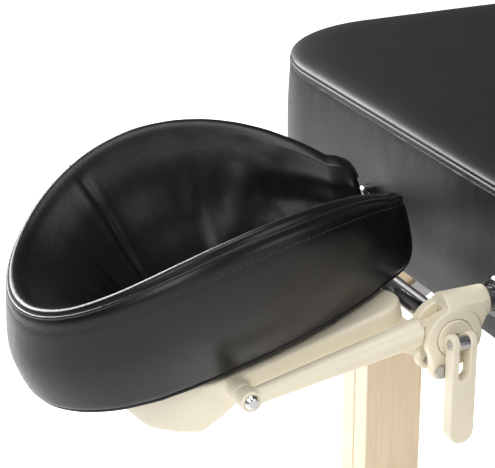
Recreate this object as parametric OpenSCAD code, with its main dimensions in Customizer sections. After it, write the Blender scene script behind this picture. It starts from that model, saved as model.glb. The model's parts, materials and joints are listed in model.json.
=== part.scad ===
// Portable two-section treatment table with wooden legs, folding knee braces
// and a tilting face cradle in the sockets of its head end.
// Origin: middle of the footprint, on the floor. +X runs from head to foot, +Z is up.

/* [Table] */
// Width over the upholstery
table_w = 780; // [640:5:900]
// Length of the top, without the face cradle
table_l = 1850; // [1600:10:2300]
// Height of the top at the leg setting shown
table_h = 705; // [640:5:800]
// Plan radius of the four outer corners
corner_r = 135; // [60:1:150]
// Gap between the two halves of the top
centre_gap = 2; // [1:0.5:6]

/* [Wooden frame] */
// Height of the rails round each half
rail_h = 72; // [60:1:100]
// Thickness of the rails
rail_t = 20; // [14:1:26]
// Thickness of the plywood deck
deck_t = 5; // [3:0.5:9]

/* [Upholstery] */
// Thickness of the foam, with its crown
foam_t = 60; // [40:1:90]
// Height of the crown above the seam
crown_h = 10; // [4:1:16]
// Thickness of the vinyl cover
cover_t = 1.5; // [1:0.5:3]
// Width of the hem that is turned under the rails
hem_w = 14; // [8:1:18]

/* [Legs] */
// Distance of the leg pivot from the end of the top
leg_inset = 133; // [110:1:170]
// Gap between the outer face of a leg and the rail beside it
leg_rail_gap = 19.5; // [19:0.5:40]
// Width of a leg board, along the table
board_w = 68; // [50:1:70]
// Thickness of a leg board
board_t = 28.5; // [20:0.5:32]
// Gap between the two boards of a leg
board_gap = 0.5; // [0.3:0.1:2]
// Length of the upper board below its pivot
upper_len = 470; // [440:5:500]
// Drop of the sliding board's top below the pivot
ext_top_drop = 150; // [140:1:180]
// How far the sliding board can be drawn up from the setting shown
ext_up = 100; // [60:5:100]
// How far the sliding board can be let down
ext_down = 125; // [60:5:125]
// Drop of the clamp knob below the pivot
knob_drop = 372; // [360:1:380]
// Height of a rubber foot
foot_h = 14; // [8:1:24]
// Drop of the cross bar's top below the leg pivots
crossbar_drop = 410; // [400:1:420]
// Height of the cross bar
crossbar_h = 50; // [30:1:60]
// Thickness of the cross bar
crossbar_t = 20; // [14:1:26]

/* [Knee braces] */
// Drop of the lower brace pivot below the leg pivot
brace_drop = 190; // [180:1:220]
// Distance of the upper brace pivot from the leg pivot
brace_reach = 330; // [300:1:360]
// Width of a brace link
brace_w = 24; // [16:1:28]
// Thickness of a brace link
brace_t = 5; // [3:0.5:6]

/* [Centre hinges] */
// Length of one hinge
hinge_len = 90; // [60:1:120]
// Distance of the outer hinges from the middle
hinge_pitch = 290; // [200:5:300]
// Distance between the two pins of a hinge
pin_pitch = 46; // [40:1:60]
// Radius of the hinge knuckles
knuckle_r = 4.5; // [3.5:0.1:6]
// Radius of the hinge pins
hinge_pin_r = 2.5; // [1.5:0.1:3]
// Thickness of the hinge leaves
leaf_t = 2; // [1.5:0.1:3]
// Thickness of the links between the pins
link_t = 3; // [2:0.5:5]

/* [Cradle sockets] */
// Distance of each socket from the middle of the table
socket_y = 115; // [90:1:140]
// Height of the sockets above the bottom edge of the cover
socket_z = 45; // [34:1:50]
// Radius of the cradle rods
rod_r = 10; // [7:0.5:11]
// Radial clearance of a rod in its socket
rod_fit = 0.05; // [0.02:0.01:0.1]
// Outer radius of the socket barrel
barrel_r = 14; // [12:0.5:16]
// Depth of a socket behind the end face
socket_depth = 120; // [80:1:140]
// Outer radius of the collar in front of the end face
flange_r = 18; // [16:1:24]
// How far the collar stands out of the end face
collar_len = 11; // [6:1:14]

/* [Face cradle] */
// Distance of the tilt axis from the end of the top
hub_x = 54; // [50:1:80]
// Height of the tilt axis above the bottom edge of the cover
hub_z = 24; // [18:1:30]
// Radius of the hub brackets
hub_r = 25; // [22:0.5:28]
// Thickness of one cheek of a hub bracket
cheek_t = 9.5; // [7:0.5:12]
// Thickness of the arm's knuckle, between the cheeks
tongue_t = 12; // [9:0.5:15]
// Gap between the knuckle and each cheek
cheek_gap = 0.25; // [0.2:0.05:0.6]
// Distance of the platform's pins from the end of the top
pin_x = 229.5; // [210:0.5:250]
// Height of the platform's pins above the bottom edge of the cover
pin_z = -0.5; // [-20:0.5:10]
// Slope of the cradle platform
cradle_tilt = 14; // [8:0.5:20]
// Half width of the platform
platform_b = 95; // [85:1:98]
// Half width of the opening between the platform's arms
platform_in = 52; // [40:1:56]
// Length of the platform's arms, from the middle of its bow to their ends
platform_len = 135; // [110:1:140]
// Thickness of the platform
platform_t = 20; // [14:1:24]
// Depth of the platform under its round front
belly_t = 46; // [24:1:60]
// Thickness of the hook strip
strip_t = 4; // [2:0.5:5]
// How far the hook strip stays in from the platform's edges
strip_edge = 15; // [5:1:16]

/* [Face cushion] */
// Height of the cushion at its sides
cushion_h = 128; // [100:1:140]
// Height of the cushion at its front
cushion_front_h = 86; // [60:1:100]
// Half width of the cushion over its rim
cushion_b = 134; // [110:1:145]

/* [Cam lever] */
// Length of the lever below its pin
lever_len = 88; // [70:1:110]
// Width of the lever
lever_w = 22; // [18:0.5:28]
// Thickness of the lever
lever_t = 12.5; // [9:0.5:15]

/* [Handles and latches] */
// Length of a carry handle between its eyes
handle_l = 130; // [100:1:170]
// Distance of the handle's middle from the centre of the table
handle_x = 430; // [350:5:500]
// Distance of the latches on each side of the handle
latch_pitch = 220; // [160:5:260]

/* [Hidden] */

// Colours
BLACK = [0.13, 0.13, 0.14];
CREAM = [0.93, 0.90, 0.81];
WOOD = [0.87, 0.76, 0.60];
STEEL = [0.62, 0.62, 0.64];
FOAM = [0.92, 0.88, 0.62];

// Facets of the true circles, and of shapes that become triangles
$fn = 64;
HULL_FN = 32;
EPS = 0.01;

// Clearances
shaft_fit = 0.05;      // radial, for every pin that turns in a bore
side_gap = 1;          // between plates that swing past each other
soft_gap = 0.3;        // between the cushion and what carries it
glue_t = 0.1;          // between pieces that are glued together

// ---- derived sizes of the table
half_l = table_l / 2;
half_w = table_w / 2;
hx0 = centre_gap / 2;
pad_h = 2 * cover_t + rail_h + deck_t + foam_t;
skirt_z = table_h - pad_h;
rail_z = skirt_z + cover_t;
deck_z = rail_z + rail_h;
foam_z = deck_z + deck_t;
seam_z = table_h - crown_h;
rail_y = half_w - cover_t - rail_t;    // inner face of the side rails

// ---- derived sizes of the legs
pivot_x = half_l - leg_inset;
pivot_z = rail_z + rail_h / 2;
pivot_r = 5;
ear_t = 3;
ear_w = 44;
ext_y1 = rail_y - leg_rail_gap;
ext_y0 = ext_y1 - board_t;
leg_y1 = ext_y0 - board_gap;
leg_y0 = leg_y1 - board_t;
stud_r = 4;
slot_r = stud_r + 0.3;
knob_r = 20;
knob_h = 14;
knob_z = pivot_z - knob_drop;
stud_end = 4;                            // wood left behind the end of the stud

// ---- derived sizes of the braces: straight when the leg is down, and folded flat
// over the leg when the leg lies under the deck
brace_sum = sqrt(brace_reach * brace_reach + brace_drop * brace_drop);
brace_diff = brace_reach - brace_drop;
upper_brace_l = (brace_sum + brace_diff) / 2;
lower_brace_l = (brace_sum - brace_diff) / 2;
brace_angle = atan2(brace_drop, brace_reach);
brace_pin_r = 4;
lower_y1 = leg_y0 - side_gap;
upper_y1 = lower_y1 - brace_t - side_gap;
lug_y1 = upper_y1 - brace_t - side_gap;

// ---- derived sizes of the hinges
hinge_z = rail_z - knuckle_r - 0.2;
knuckle_gap = 0.5;
knuckle_x = pin_pitch / 2;
leaf_x0 = hx0 + cover_t;
leaf_x1 = knuckle_x - knuckle_r - knuckle_gap;

// ---- derived sizes of the cradle, with x measured from the end of the top
boss_r = 13.5;
boss_x0 = 20;
boss_x1 = 60;
hub_w = tongue_t + 2 * cheek_gap + 2 * cheek_t;
cheek_y = socket_y + hub_w / 2;          // outer face of the outer cheek
inner_y = socket_y - hub_w / 2;
tongue_r = 17;
pocket_r = tongue_r + 0.75;
arm_r0 = 7;
arm_r1 = 11.6;
arm_lug_r = 9;
arm_lug_t = 14;
arm_cut_r = hub_r + 1.3;
slot_a0 = 106;                           // angles that the arm's slot opens between
slot_a1 = 252;
arm_aim = 9;                             // how far over the tilt axis the arms point
tie_r = 4;
tube_r = 12.5;
washer_r = 15.5;
washer_t = 4;
recess_d = 3;
cam_r = 8;
cam_offset = 0.9;
lever_pin_r = 3;
lever_y = cheek_y + washer_t - recess_d + cam_r + cam_offset + 0.1;
ear_gap = 9.8;
eye_w = 9.5;
stop_dx = -12;
stop_dz = -27;
stop_r = 3;
stop_lug_r = 8;
platform_x = 210;                        // middle of the bow
platform_z = 17.8;
cushion_len = 165;                       // reach of the cushion ahead of the bow's middle
belly_u0 = -56;                          // the belly rises from here, behind the bow's middle,
belly_u1 = -18;                          // to here
strip_len = 80;
cradle_reach = platform_x + cushion_len;
hinge_x = cradle_reach / 2;
head_x = hinge_x - half_l;

// ---- derived sizes of the handles and latches
handle_z = rail_z + 60;
handle_y = -(half_w + 8);
handle_drop = 45;
grip_r = 8;
latch_z = rail_z + 40;                   // pivot line of the latch levers
latch_gap = 6.5;                         // from the cover to the pivot line
latch_plate_t = 2;
latch_pin_r = 2;
latch_eye_r = 4;
latch_lever_w = 24;

// ================= placing helpers =================

// A half is drawn with the hinge line at x = 0 and its end at +x.
module head_side() { translate([hinge_x, 0, 0]) mirror([1, 0, 0]) children(); }
module foot_side() { translate([hinge_x, 0, 0]) children(); }

// The cradle is drawn from the head end of the top, with -x pointing away from it
// and z = 0 at the bottom edge of the cover.
module cradle() { translate([head_x, 0, skirt_z]) children(); }

// The platform and its cushion are drawn level, then sloped about the bow's middle.
module sloped() {
  cradle() translate([-platform_x, 0, platform_z]) rotate([0, -cradle_tilt, 0]) children();
}

// Both sides of the table: the second copy is mirrored to -y.
module both_sides() {
  children();
  mirror([0, 1, 0]) children();
}

// Cylinder along +y that starts at y0.
module rod_y(r, y0, y1) {
  translate([0, y0, 0]) rotate([-90, 0, 0]) cylinder(r = r, h = y1 - y0);
}

// Cylinder along +x that starts at x0.
module rod_x(r, x0, x1) {
  translate([x0, 0, 0]) rotate([0, 90, 0]) cylinder(r = r, h = x1 - x0);
}

// Block between two corners.
module block(a, b) { translate(a) cube(b - a); }

// ================= top =================

// Plan of a half, held in from the outer edge and from the hinge line.
module plan(inset, hinge_inset, fn = 96) {
  x0 = hx0 + hinge_inset;
  x1 = half_l - inset;
  y1 = half_w - inset;
  r = corner_r - inset;
  translate([x0, -y1]) square([x1 - r - x0, 2 * y1]);
  translate([x1 - r - EPS, -(y1 - r)]) square([r + EPS, 2 * (y1 - r)]);
  for (s = [-1, 1]) translate([x1 - r, s * (y1 - r)]) circle(r = r, $fn = fn);
}

module slice(z, inset, hinge_inset) {
  translate([0, 0, z]) linear_extrude(EPS) plan(inset, hinge_inset, HULL_FN);
}

// Body of the pad: straight sides up to the seam and a soft crown above it.
module pad_form(inset, hinge_inset, bottom, seam, top) {
  rise = top - seam;
  translate([0, 0, bottom]) linear_extrude(seam - bottom) plan(inset, hinge_inset);
  hull() {
    slice(seam - EPS, inset, hinge_inset);
    slice(seam + rise * 0.65, inset + 9, hinge_inset + 5);
    slice(top - EPS, inset + 34, hinge_inset + 20);
  }
}

module deck() {
  color(WOOD) translate([0, 0, deck_z]) linear_extrude(deck_t) plan(cover_t, cover_t);
}

// Straight rails of a half: one along each side, and one across at the hinge line.
module straight_rails() {
  x0 = hx0 + cover_t;
  color(WOOD) {
    both_sides() block([x0, rail_y, rail_z], [half_l - corner_r - glue_t, rail_y + rail_t, deck_z]);
    block([x0, glue_t - rail_y, rail_z], [x0 + rail_t, rail_y - glue_t, deck_z]);
  }
}

// End rail with the two socket bores, and the bent corner pieces that join it to the sides.
module end_rail() {
  x1 = half_l - cover_t;
  y1 = half_w - corner_r;
  r = corner_r - cover_t;
  color(WOOD) {
    difference() {
      block([x1 - rail_t, glue_t - y1, rail_z], [x1, y1 - glue_t, deck_z]);
      both_sides() translate([0, socket_y, skirt_z + socket_z]) rod_x(barrel_r, x1 - rail_t - 1, x1 + 1);
    }
    both_sides() translate([half_l - corner_r, y1, rail_z]) intersection() {
      difference() {
        cylinder(r = r, h = rail_h);
        translate([0, 0, -1]) cylinder(r = r - rail_t, h = rail_h + 2);
      }
      cube([r, r, rail_h]);
    }
  }
}

module foam() {
  color(FOAM) pad_form(cover_t, cover_t, foam_z, seam_z - cover_t, table_h - cover_t);
}

// Vinyl over the foam and down the rails, turned under their bottom edge.
module cover() {
  under = cover_t + hem_w;
  clear_x = hx0 + cover_t + rail_t + hem_w;
  color(BLACK) difference() {
    pad_form(0, 0, skirt_z, seam_z, table_h);
    pad_form(cover_t, cover_t, rail_z, seam_z - cover_t, table_h - cover_t);
    translate([0, 0, skirt_z - 1]) linear_extrude(cover_t + 2) plan(under, cover_t);
    block([-1, -rail_y - rail_t, skirt_z - 1], [clear_x, rail_y + rail_t, rail_z + 5]);
    both_sides() translate([0, socket_y, skirt_z + socket_z]) rod_x(barrel_r, half_l - cover_t - 1, half_l + 1);
  }
}

// Lined sockets that take the cradle's rods, each with a collar in front of the end face.
module sockets() {
  bore = rod_r + rod_fit;
  color(BLACK) both_sides() translate([half_l, socket_y, skirt_z + socket_z])
    rotate([0, 90, 0]) rotate_extrude() polygon([
      [bore, -socket_depth], [barrel_r, -socket_depth], [barrel_r, 0], [flange_r, 0],
      [flange_r, collar_len - 3], [flange_r - 2.5, collar_len], [bore + 1, collar_len],
      [bore, collar_len - 1]
    ]);
}

// ================= centre hinges =================

// Each hinge has two pins, so that either half can turn a quarter on the links between them.
module at_hinges() {
  for (s = [-1, 0, 1]) translate([0, s * hinge_pitch - hinge_len / 2, hinge_z]) children();
}

module pin_bore() { translate([knuckle_x, 0, 0]) rod_y(hinge_pin_r + shaft_fit, -1, hinge_len + 1); }

// Leaf under the centre rail of one half, with a knuckle at each end of its pin.
module hinge_leaves() {
  third = hinge_len / 3;
  leaf_z = rail_z - hinge_z;
  color(STEEL) at_hinges() difference() {
    union() {
      block([leaf_x0, 0, leaf_z - leaf_t], [leaf_x1, hinge_len, leaf_z]);
      for (y = [0, hinge_len - third + knuckle_gap / 2]) {
        translate([knuckle_x, 0, 0]) rod_y(knuckle_r, y, y + third - knuckle_gap / 2);
        block([leaf_x1 - 1, y, leaf_z - leaf_t], [knuckle_x, y + third - knuckle_gap / 2, leaf_z]);
      }
    }
    pin_bore();
  }
}

// Links between the pins, with their knuckles in the middle of each hinge.
module hinge_links() {
  y0 = hinge_len / 3 + knuckle_gap / 2;
  y1 = hinge_len - y0;
  color(STEEL) translate([hinge_x, 0, 0]) at_hinges() difference() {
    union() {
      block([-leaf_x1, 0, -link_t / 2], [leaf_x1, hinge_len, link_t / 2]);
      block([-knuckle_x, y0, -link_t / 2], [knuckle_x, y1, link_t / 2]);
      for (s = [-1, 1]) translate([s * knuckle_x, 0, 0]) rod_y(knuckle_r, y0, y1);
    }
    for (m = [0, 1]) mirror([m, 0, 0]) pin_bore();
  }
}

// Riveted pins, two to a hinge.
module hinge_pins() {
  head_r = knuckle_r - 0.5;
  head_t = 1.2;
  end_gap = 0.3;
  color(STEEL) translate([hinge_x, 0, 0]) at_hinges() for (s = [-1, 1]) translate([s * knuckle_x, 0, 0]) {
    rod_y(hinge_pin_r, -end_gap, hinge_len + end_gap);
    rod_y(head_r, -end_gap - head_t, -end_gap);
    rod_y(head_r, hinge_len + end_gap, hinge_len + end_gap + head_t);
  }
}

// ================= legs =================

// Upper boards with round tops, drawn at the pivot.
module upper_legs() {
  color(WOOD) both_sides() translate([pivot_x, 0, pivot_z]) difference() {
    union() {
      rod_y(board_w / 2, leg_y0, leg_y1);
      block([-board_w / 2, leg_y0, -upper_len], [board_w / 2, leg_y1, 0]);
    }
    rod_y(pivot_r + shaft_fit, leg_y0 - 1, leg_y1 + 1);
    translate([0, 0, -knob_drop]) rod_y(stud_r + shaft_fit, leg_y0 + stud_end - 0.5, leg_y1 + 1);
    translate([0, 0, -brace_drop]) rod_y(brace_pin_r + shaft_fit, leg_y0 - 1, leg_y1 + 1);
  }
}

module leg_crossbar() {
  color(WOOD) translate([pivot_x, 0, pivot_z - crossbar_drop])
    block([-crossbar_t / 2, -leg_y0, -crossbar_h], [crossbar_t / 2, leg_y0, 0]);
}

// An ear that hangs from the deck, with its flange turned towards `out`.
module ear(y0, drop, width, out) {
  flange = 25;                           // width of the foot that is screwed to the deck
  rod_y(width / 2, y0, y0 + ear_t);
  block([-width / 2, y0, 0], [width / 2, y0 + ear_t, drop]);
  fy = out > 0 ? y0 : y0 + ear_t - flange;
  block([-width / 2, fy, drop - ear_t], [width / 2, fy + flange, drop]);
}

// Steel ears and pivot bolts of the legs, and the lugs that carry the upper braces.
module leg_mounts() {
  drop = deck_z - pivot_z;
  inner_ear = leg_y0 - side_gap - ear_t;
  outer_ear = leg_y1 + side_gap;
  color(STEEL) both_sides() {
    translate([pivot_x, 0, pivot_z]) {
      for (e = [[inner_ear, -1], [outer_ear, 1]]) difference() {
        ear(e[0], drop, ear_w, e[1]);
        rod_y(pivot_r, e[0] - 1, e[0] + ear_t + 1);
      }
      rod_y(pivot_r, inner_ear, outer_ear + ear_t);
      rotate([0, 30, 0]) for (y = [inner_ear - 5, outer_ear + ear_t])
        translate([0, y, 0]) rotate([-90, 0, 0]) cylinder(r = 9, h = 5, $fn = 6);
    }
    translate([pivot_x - brace_reach, 0, pivot_z]) difference() {
      ear(lug_y1 - ear_t, drop, brace_w + 6, -1);
      rod_y(brace_pin_r + shaft_fit, lug_y1 - ear_t - 1, lug_y1 + 1);
    }
  }
}

// Sliding board with the slot for its clamp knob.
module extension(s) {
  slot_low = -knob_drop - ext_up;
  slot_high = -knob_drop + ext_down;
  color(WOOD) mirror([0, s < 0 ? 1 : 0, 0]) translate([pivot_x, 0, pivot_z]) difference() {
    block([-board_w / 2, ext_y0, foot_h - pivot_z], [board_w / 2, ext_y1, -ext_top_drop]);
    block([-slot_r, ext_y0 - 1, slot_low], [slot_r, ext_y1 + 1, slot_high]);
    for (z = [slot_low, slot_high]) translate([0, 0, z]) rod_y(slot_r, ext_y0 - 1, ext_y1 + 1);
  }
}

// Rubber foot under a sliding board.
module rubber_foot(s) {
  w = board_w / 2;
  bevel = foot_h * 0.35;
  color(BLACK) mirror([0, s < 0 ? 1 : 0, 0]) translate([pivot_x, ext_y1, 0]) rotate([90, 0, 0])
    linear_extrude(board_t) polygon([
      [-w, foot_h], [-w, bevel], [bevel - w, 0], [w - bevel, 0], [w, bevel], [w, foot_h]
    ]);
}

// Star knob with its washer and the stud that clamps the two boards.
module knob(s) {
  washer_h = 1.5;
  lobes = 5;
  lobe_r = 7;
  face = ext_y1 + soft_gap;
  color(BLACK) mirror([0, s < 0 ? 1 : 0, 0]) translate([pivot_x, 0, knob_z]) {
    rod_y(knob_r - lobe_r + 1, face + washer_h, face + washer_h + knob_h);
    for (i = [0 : lobes - 1]) rotate([0, i * 360 / lobes, 0]) translate([knob_r - lobe_r, 0, 0])
      rod_y(lobe_r, face + washer_h, face + washer_h + knob_h);
    rod_y(stud_r * 3, face, face + washer_h);
    rod_y(stud_r, leg_y0 + stud_end, face);
  }
}

// ================= knee braces =================

// Flat link from the origin along +x, with a stud at the origin towards +y or -y.
module link(length, y1, stud_y0, stud_y1) {
  block([0, y1 - brace_t, -brace_w / 2], [length, y1, brace_w / 2]);
  for (x = [0, length]) translate([x, 0, 0]) rod_y(brace_w / 2, y1 - brace_t, y1);
  rod_y(brace_pin_r, stud_y0, stud_y1);
}

// Short links, each on a stud in its leg. They point towards the centre and up.
module lower_braces() {
  color(STEEL) both_sides() translate([pivot_x, 0, pivot_z - brace_drop]) mirror([1, 0, 0])
    rotate([0, -brace_angle, 0]) link(lower_brace_l, lower_y1, lower_y1 - EPS, lower_y1 + board_t * 0.8);
}

// Long links, each on a stud in its lug under the deck. They point towards the leg and down.
module upper_braces() {
  color(STEEL) both_sides() translate([pivot_x - brace_reach, 0, pivot_z])
    rotate([0, brace_angle, 0])
      link(upper_brace_l, upper_y1, lug_y1 - ear_t - 2, upper_y1 - brace_t + EPS);
}

// ================= handles and latches =================

// Padded grip on two arms whose eyes turn on the brackets' pins.
module handle() {
  arm_w = 9;
  eye_r = 6;
  eye = handle_l / 2;
  color(BLACK) translate([handle_x, handle_y, handle_z]) difference() {
    union() {
      for (s = [-1, 1]) translate([s * eye, 0, 0]) {
        rod_x(eye_r, -arm_w / 2, arm_w / 2);
        block([-arm_w / 2, -3, -handle_drop], [arm_w / 2, 3, 0]);
      }
      translate([0, 0, -handle_drop]) rod_x(grip_r - 1, -eye - arm_w / 2, eye + arm_w / 2);
      translate([0, 0, -handle_drop]) rod_x(grip_r, -eye * 0.78, eye * 0.78);
    }
    rod_x(3 + shaft_fit, -handle_l, handle_l);
  }
}

// Plates on the side of the cover, each with two lugs and a pin.
module handle_brackets() {
  plate = [30, 2, 34];
  lug_gap = 5.2;
  color(STEEL) for (s = [-1, 1]) translate([handle_x + s * handle_l / 2, handle_y, handle_z]) {
    block([-plate[0] / 2, 8 - plate[1], -plate[2] / 2], [plate[0] / 2, 8, plate[2] / 2]);
    for (m = [-1, 1]) translate([m * (lug_gap + 1.5), 0, 0]) {
      rod_x(6, -1.5, 1.5);
      block([-1.5, 0, -6], [1.5, 8, 6]);
    }
    rod_x(3, -lug_gap - 3.5, lug_gap + 3.5);
  }
}

// Puts a piece of a latch at its pivot line, on the inner (-1) or outer (1) side of the handle.
module at_latch(s) {
  translate([handle_x + s * latch_pitch, -half_w - latch_gap, latch_z]) children();
}

// Base plate of a draw latch, with the lugs and pin that carry its lever.
module latch_bases() {
  lug_t = 3;
  lug_x = latch_lever_w / 2 + side_gap;
  plate_x = lug_x + lug_t + 1;
  color(STEEL) for (s = [-1, 1]) at_latch(s) {
    block([-plate_x, latch_gap - latch_plate_t, -34], [plate_x, latch_gap, 10]);
    for (m = [0, 1]) mirror([m, 0, 0]) {
      rod_x(latch_eye_r, lug_x, lug_x + lug_t);
      block([lug_x, 0, -latch_eye_r], [lug_x + lug_t, latch_gap - latch_plate_t, latch_eye_r]);
    }
    rod_x(latch_pin_r, -lug_x - lug_t, lug_x + lug_t);
  }
}

// Lever of a draw latch, hanging against its base, with a lip to lift it by.
module latch_lever(s) {
  w = latch_lever_w / 2;
  length = 30;
  plate_t = 3;
  lip = 4;
  color(STEEL) at_latch(s) difference() {
    union() {
      rod_x(latch_eye_r, -w, w);
      block([-w, -latch_eye_r, -length], [w, plate_t - latch_eye_r, 0]);
      block([-w, -latch_eye_r - lip, -length], [w, plate_t - latch_eye_r, plate_t - length]);
    }
    rod_x(latch_pin_r + shaft_fit, -w - 1, w + 1);
  }
}

// Hooks on the other half that the latches catch when the table is folded.
module latch_strikes() {
  plate_x = 13;
  hook_x = 9;
  hook_z = -20;
  hook_t = 2.5;
  color(STEEL) for (s = [-1, 1]) at_latch(s) translate([0, latch_gap, 0]) {
    block([-plate_x, -latch_plate_t, -34], [plate_x, 0, -8]);
    block([-hook_x, -6, hook_z], [hook_x, -latch_plate_t, hook_z + hook_t]);
    block([-hook_x, -8, hook_z], [hook_x, -6, hook_z + 7]);
  }
}

// ================= face cradle =================

module cradle_rods() {
  color(STEEL) cradle() both_sides() translate([0, socket_y, socket_z])
    rod_x(rod_r, -boss_x0 - 18, socket_depth - 5);
}

// Sector between two angles, for the slot that the arm swings in.
module sector(a0, a1, r) {
  polygon(concat([[0, 0]], [for (a = [a0 : (a1 - a0) / 8 : a1]) [r * cos(a), r * sin(a)]]));
}

// Cast bracket of one hub: boss for the rod, two cheeks, and the lug for the stop bolt.
module hub_bracket() {
  y0 = inner_y;
  y1 = cheek_y;
  slot_y0 = socket_y - tongue_t / 2 - cheek_gap;
  slot_w = tongue_t + 2 * cheek_gap;
  difference() {
    union() {
      translate([-hub_x, 0, hub_z]) rod_y(hub_r, y0, y1);
      translate([-hub_x + stop_dx, 0, hub_z + stop_dz]) rod_y(stop_lug_r, y0, y1);
      translate([-hub_x, y1, hub_z]) rotate([90, 0, 0]) linear_extrude(y1 - y0) polygon([
        [-hub_r + 3, -8], [stop_dx - stop_lug_r + 1, stop_dz + 2], [stop_dx + stop_lug_r - 1, stop_dz - 2], [10, -19]
      ]);
      translate([0, socket_y, socket_z]) rod_x(boss_r, -boss_x1, -boss_x0);
      translate([0, y1 - 2, 0]) rotate([90, 0, 0]) linear_extrude(y1 - y0 - 4) polygon([
        [-boss_x1, hub_z], [-boss_x1, socket_z + 6], [-boss_x0 - 4, socket_z + 6],
        [-boss_x0 - 4, socket_z - 8], [-hub_x + hub_r - 1, hub_z]
      ]);
    }
    translate([-hub_x, 0, hub_z]) {
      rod_y(pocket_r, slot_y0, slot_y0 + slot_w);
      translate([0, slot_y0 + slot_w, 0]) rotate([90, 0, 0]) linear_extrude(slot_w) sector(slot_a0, slot_a1, hub_r * 2.2);
      rod_y(tie_r + shaft_fit, y0 - 1, y1 + 1);
      rod_y(washer_r + 0.5, y1 - recess_d, y1 + 1);
      translate([stop_dx, 0, stop_dz]) rod_y(stop_r, y0 - 1, y1 + 1);
    }
    translate([0, socket_y, socket_z]) rod_x(rod_r, -boss_x0 - 18, -boss_x0 + 1);
  }
}

module hub_brackets() { color(CREAM) cradle() both_sides() hub_bracket(); }

module cross_tube() {
  color(STEEL) cradle() translate([-hub_x, 0, hub_z]) difference() {
    rod_y(tube_r, -inner_y, inner_y);
    rod_y(tube_r - 1.5, -inner_y - 1, inner_y + 1);
  }
}

// Rod through both hubs, with the eye for the lever's pin and the nut at the far end.
module tie_rod() {
  nut_y = cheek_y - recess_d + 1;
  color(STEEL) cradle() translate([-hub_x, 0, hub_z]) {
    difference() {
      union() {
        rod_y(tie_r, -lever_y + 2, nut_y + 10);
        translate([0, -lever_y, 0]) rod_x(6.2, -eye_w / 2, eye_w / 2);
      }
      translate([0, -lever_y, 0]) rod_x(lever_pin_r + shaft_fit, -eye_w, eye_w);
    }
    rod_y(tie_r * 2.6, nut_y - 1, nut_y);
    translate([0, nut_y, 0]) rotate([-90, 0, 0]) cylinder(r = tie_r * 2, h = 7, $fn = 6);
  }
}

module cam_washer() {
  y1 = cheek_y - recess_d + washer_t;
  color(CREAM) cradle() translate([-hub_x, 0, hub_z]) difference() {
    rod_y(washer_r, -y1, recess_d - cheek_y);
    rod_y(tie_r + shaft_fit, -y1 - 1, 0);
  }
}

// Forked lever: two cam ears on the pin, and a paddle that hangs below them.
module cam_lever() {
  w = lever_w / 2;
  tip_r = w;
  eye_drop = 26;
  color(CREAM) cradle() translate([-hub_x, -lever_y, hub_z]) difference() {
    union() {
      translate([0, cam_offset, 0]) rod_x(cam_r, -w, w);
      block([-w, -lever_t / 2, tip_r - lever_len], [w, lever_t / 2, 0]);
      translate([0, 0, tip_r - lever_len]) rod_y(tip_r, -lever_t / 2, lever_t / 2);
    }
    block([-ear_gap / 2, -lever_t, -eye_drop], [ear_gap / 2, lever_t, cam_r * 2]);
    translate([0, 0, -eye_drop]) rod_y(ear_gap / 2, -lever_t, lever_t);
    rod_x(lever_pin_r, -w - 1, w + 1);
  }
}

module lever_pin() {
  w = lever_w / 2;
  color(STEEL) cradle() translate([-hub_x, -lever_y, hub_z]) {
    rod_x(lever_pin_r, -w, w);
    rod_x(lever_pin_r + 1, -w - 1, -w);
    rod_x(lever_pin_r + 1, w, w + 1);
  }
}

// Bolts that stop the arms' downward tilt, with hexagon heads and nuts.
module stop_bolts() {
  hex_r = 6.4;
  hex_t = 3.4;
  color(STEEL) cradle() both_sides() translate([-hub_x + stop_dx, 0, hub_z + stop_dz]) {
    rod_y(stop_r, inner_y, cheek_y);
    for (y = [inner_y - hex_t, cheek_y]) translate([0, y, 0]) rotate([-90, 0, 0])
      cylinder(r = hex_r, h = hex_t, $fn = 6);
  }
}

// One arm: tapered round bar from the platform pin to the knuckle in the hub.
module tilt_arm() {
  dx = pin_x - hub_x;
  rise = atan2(hub_z + arm_aim - pin_z, dx);
  run = dx - arm_cut_r + 2;
  gusset_t = 6;
  difference() {
    union() {
      translate([-pin_x, socket_y, pin_z]) rotate([0, 90 - rise, 0])
        cylinder(r1 = arm_r0, r2 = arm_r1, h = run / cos(rise));
      translate([-pin_x, 0, pin_z]) rod_y(arm_lug_r, socket_y - arm_lug_t / 2, socket_y + arm_lug_t / 2);
      translate([-hub_x, socket_y + gusset_t / 2, hub_z]) rotate([90, 0, 0]) linear_extrude(gusset_t) difference() {
        polygon([[-52, -6], [-25, 2], [-25, -13], [-31, -15]]);
        polygon([[-42, -6.5], [-31, -4], [-31, -10]]);
      }
    }
    translate([-hub_x, 0, hub_z]) rod_y(arm_cut_r, inner_y - 5, cheek_y + 5);
    translate([-pin_x, 0, pin_z]) rod_y(5 + shaft_fit, socket_y - 20, socket_y + 20);
  }
  difference() {
    union() {
      translate([-hub_x, 0, hub_z]) rod_y(tongue_r, socket_y - tongue_t / 2, socket_y + tongue_t / 2);
      translate([-hub_x, socket_y + tongue_t / 2, hub_z]) rotate([90, 0, 0]) linear_extrude(tongue_t)
        polygon([[-30, 12], [-11, 12], [-9, -13.5], [-29, -4]]);
    }
    translate([-hub_x, 0, hub_z]) rod_y(tie_r + shaft_fit, 0, cheek_y + 5);
  }
}

module tilt_arms() { color(CREAM) cradle() both_sides() tilt_arm(); }

// Pins that join the arms to the platform's ears, with domed heads on the outside.
module arm_pins() {
  y1 = socket_y + arm_lug_t / 2;
  color(STEEL) cradle() both_sides() translate([-pin_x, 0, pin_z]) {
    rod_y(5, platform_b - 8, y1);
    translate([0, y1 + 0.3, 0]) rotate([-90, 0, 0]) cylinder(r1 = 6.5, r2 = 4, h = 3);
    rod_y(5, y1, y1 + 0.3);
  }
}

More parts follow.
